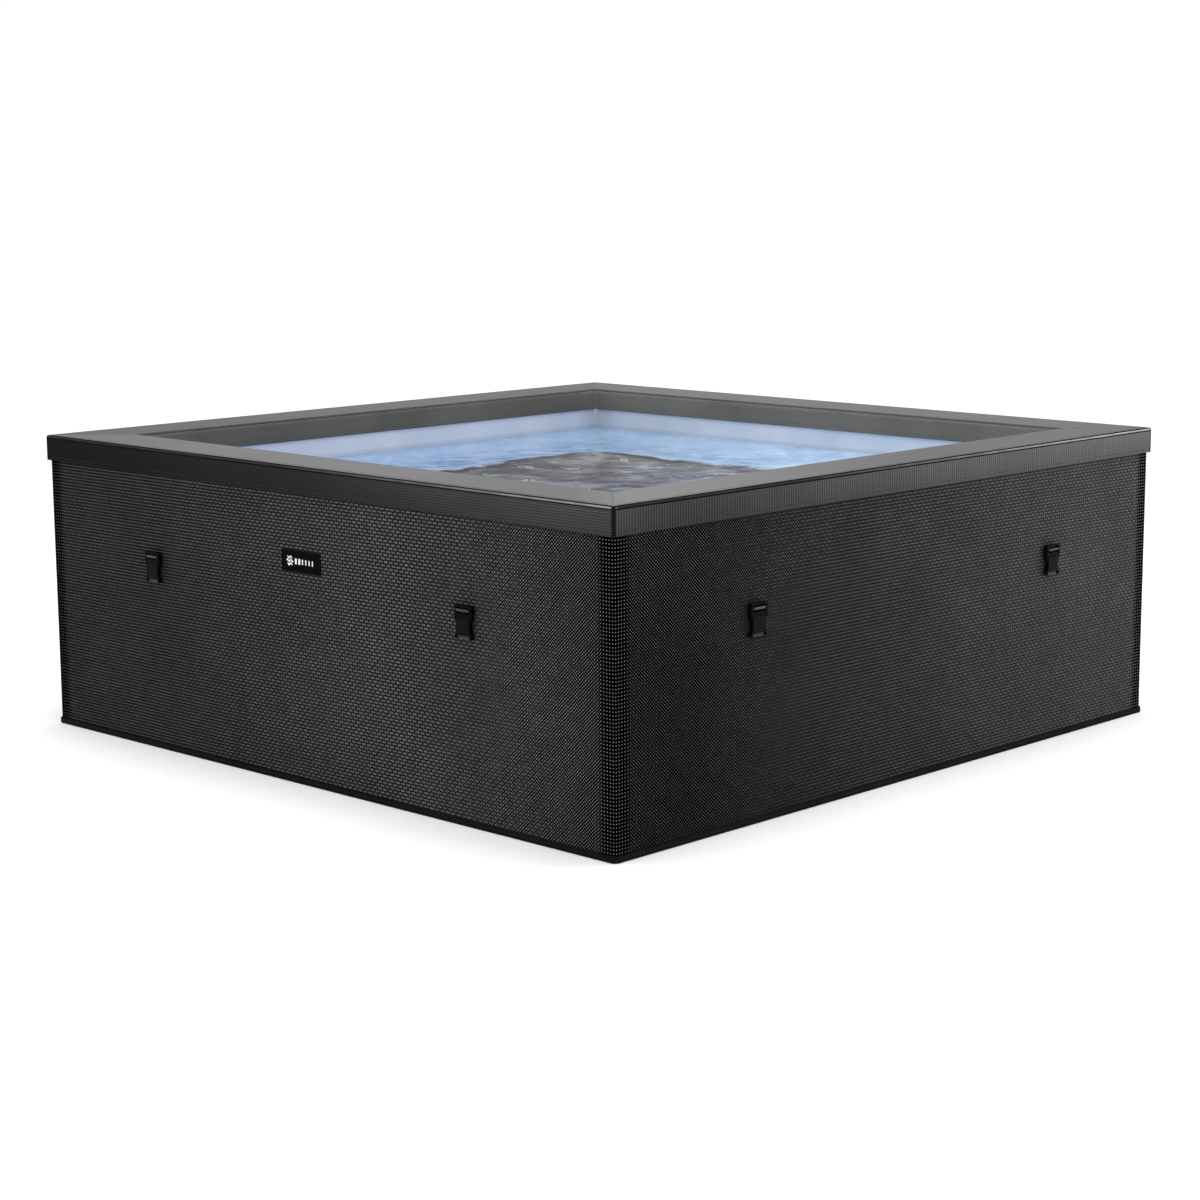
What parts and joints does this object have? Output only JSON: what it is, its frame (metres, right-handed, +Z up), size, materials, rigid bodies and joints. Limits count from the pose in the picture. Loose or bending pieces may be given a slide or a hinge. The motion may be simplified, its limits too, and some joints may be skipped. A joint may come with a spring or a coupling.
{
  "type": "hot tub",
  "caption": "Square foam-wall hot tub with a woven jacket, padded rim, soft blue basin, strap clips on its walls, and capped water and air fittings at the back.",
  "frame": {"origin": "middle of the footprint, on the ground", "axes": "+Z up, -Y out of the front wall with the label, +X to the right of the front"},
  "size_m": [1.8876, 1.9221, 0.7],
  "materials": {
    "textilene": "matte",
    "seam_tape": "matte",
    "leatherette": "satin",
    "hem": "satin",
    "liner_blue": "satin",
    "foam": "matte",
    "sheet": "matte",
    "duct_blue": "satin",
    "black_plastic": "satin",
    "grey_plastic": "satin",
    "white_plastic": "satin",
    "filter_paper": "matte",
    "webbing": "matte",
    "label": "satin"
  },
  "bodies": {
    "tub": {"base_sheet": "sheet", "floor_foam_pad": "foam", "foam_panel_front": "foam", "wall_cover_front": "textilene", "base_trim_front": "hem", "foam_panel_right": "foam", "wall_cover_right": "textilene", "base_trim_right": "hem", "foam_panel_back": "foam", "wall_cover_back": "textilene", "base_trim_back": "hem", "foam_panel_left": "foam", "wall_cover_left": "textilene", "base_trim_left": "hem", "corner_seam_front_right": "seam_tape", "corner_seam_back_right": "seam_tape", "corner_seam_back_left": "seam_tape", "corner_seam_front_left": "seam_tape", "rim_cover": "leatherette", "inner_liner": "liner_blue", "bubble_ring": "duct_blue", "air_riser_duct": "duct_blue", "outlet_union": "grey_plastic", "return_union": "grey_plastic", "air_union": "grey_plastic", "drain_valve": "grey_plastic", "filter_base": "white_plastic", "return_grille": "white_plastic", "label_plate": "label", "clip_tab_front_left": "webbing", "clip_tab_front_right": "webbing", "clip_tab_right_front": "webbing", "clip_tab_right_back": "webbing", "clip_tab_back_right": "webbing", "clip_tab_back_left": "webbing", "clip_tab_left_back": "webbing", "clip_tab_left_front": "webbing"},
    "clip_body_front_left": {"clip_receptacle_front_left": "black_plastic"},
    "clip_head_front_left": {"clip_insert_front_left": "black_plastic"},
    "clip_body_front_right": {"clip_receptacle_front_right": "black_plastic"},
    "clip_head_front_right": {"clip_insert_front_right": "black_plastic"},
    "clip_body_right_front": {"clip_receptacle_right_front": "black_plastic"},
    "clip_head_right_front": {"clip_insert_right_front": "black_plastic"},
    "clip_body_right_back": {"clip_receptacle_right_back": "black_plastic"},
    "clip_head_right_back": {"clip_insert_right_back": "black_plastic"},
    "clip_body_back_right": {"clip_receptacle_back_right": "black_plastic"},
    "clip_head_back_right": {"clip_insert_back_right": "black_plastic"},
    "clip_body_back_left": {"clip_receptacle_back_left": "black_plastic"},
    "clip_head_back_left": {"clip_insert_back_left": "black_plastic"},
    "clip_body_left_back": {"clip_receptacle_left_back": "black_plastic"},
    "clip_head_left_back": {"clip_insert_left_back": "black_plastic"},
    "clip_body_left_front": {"clip_receptacle_left_front": "black_plastic"},
    "clip_head_left_front": {"clip_insert_left_front": "black_plastic"},
    "outlet_cap": {"outlet_cap": "black_plastic"},
    "return_cap": {"return_cap": "black_plastic"},
    "air_cap": {"air_cap": "black_plastic"},
    "drain_cap": {"drain_cap": "black_plastic"},
    "drain_plug": {"drain_plug": "white_plastic"},
    "filter_cartridge": {"filter_cartridge": "filter_paper"}
  },
  "joints": [
    {"name": "clip_swing_front_left", "type": "hinge", "parent": "tub", "child": "clip_body_front_left", "pos_m": [-0.52, -0.9354, 0.396], "axis": [1, 0, 0], "range_deg": [0, 90]},
    {"name": "clip_release_front_left", "type": "slide", "parent": "clip_body_front_left", "child": "clip_head_front_left", "axis": [0, 0, 1], "range_m": [0, 0.035]},
    {"name": "clip_swing_front_right", "type": "hinge", "parent": "tub", "child": "clip_body_front_right", "pos_m": [0.52, -0.9354, 0.396], "axis": [1, 0, 0], "range_deg": [0, 90]},
    {"name": "clip_release_front_right", "type": "slide", "parent": "clip_body_front_right", "child": "clip_head_front_right", "axis": [0, 0, 1], "range_m": [0, 0.035]},
    {"name": "clip_swing_right_front", "type": "hinge", "parent": "tub", "child": "clip_body_right_front", "pos_m": [0.9354, -0.52, 0.396], "axis": [0, 1, 0], "range_deg": [0, 90]},
    {"name": "clip_release_right_front", "type": "slide", "parent": "clip_body_right_front", "child": "clip_head_right_front", "axis": [0, 0, 1], "range_m": [0, 0.035]},
    {"name": "clip_swing_right_back", "type": "hinge", "parent": "tub", "child": "clip_body_right_back", "pos_m": [0.9354, 0.52, 0.396], "axis": [0, 1, 0], "range_deg": [0, 90]},
    {"name": "clip_release_right_back", "type": "slide", "parent": "clip_body_right_back", "child": "clip_head_right_back", "axis": [0, 0, 1], "range_m": [0, 0.035]},
    {"name": "clip_swing_back_right", "type": "hinge", "parent": "tub", "child": "clip_body_back_right", "pos_m": [0.52, 0.9354, 0.396], "axis": [-1, 0, 0], "range_deg": [0, 90]},
    {"name": "clip_release_back_right", "type": "slide", "parent": "clip_body_back_right", "child": "clip_head_back_right", "axis": [0, 0, 1], "range_m": [0, 0.035]},
    {"name": "clip_swing_back_left", "type": "hinge", "parent": "tub", "child": "clip_body_back_left", "pos_m": [-0.52, 0.9354, 0.396], "axis": [-1, 0, 0], "range_deg": [0, 90]},
    {"name": "clip_release_back_left", "type": "slide", "parent": "clip_body_back_left", "child": "clip_head_back_left", "axis": [0, 0, 1], "range_m": [0, 0.035]},
    {"name": "clip_swing_left_back", "type": "hinge", "parent": "tub", "child": "clip_body_left_back", "pos_m": [-0.9354, 0.52, 0.396], "axis": [0, -1, 0], "range_deg": [0, 90]},
    {"name": "clip_release_left_back", "type": "slide", "parent": "clip_body_left_back", "child": "clip_head_left_back", "axis": [0, 0, 1], "range_m": [0, 0.035]},
    {"name": "clip_swing_left_front", "type": "hinge", "parent": "tub", "child": "clip_body_left_front", "pos_m": [-0.9354, -0.52, 0.396], "axis": [0, -1, 0], "range_deg": [0, 90]},
    {"name": "clip_release_left_front", "type": "slide", "parent": "clip_body_left_front", "child": "clip_head_left_front", "axis": [0, 0, 1], "range_m": [0, 0.035]},
    {"name": "outlet_cap_off", "type": "slide", "parent": "tub", "child": "outlet_cap", "axis": [0, 1, 0], "range_m": [0, 0.03]},
    {"name": "return_cap_off", "type": "slide", "parent": "tub", "child": "return_cap", "axis": [0, 1, 0], "range_m": [0, 0.03]},
    {"name": "air_cap_off", "type": "slide", "parent": "tub", "child": "air_cap", "axis": [0, 1, 0], "range_m": [0, 0.03]},
    {"name": "drain_cap_off", "type": "slide", "parent": "tub", "child": "drain_cap", "axis": [0, 1, 0], "range_m": [0, 0.03]},
    {"name": "drain_plug_out", "type": "slide", "parent": "tub", "child": "drain_plug", "axis": [0, -1, 0], "range_m": [0, 0.024]},
    {"name": "filter_pull", "type": "slide", "parent": "tub", "child": "filter_cartridge", "axis": [0, -1, 0], "range_m": [0, 0.04]}
  ]
}
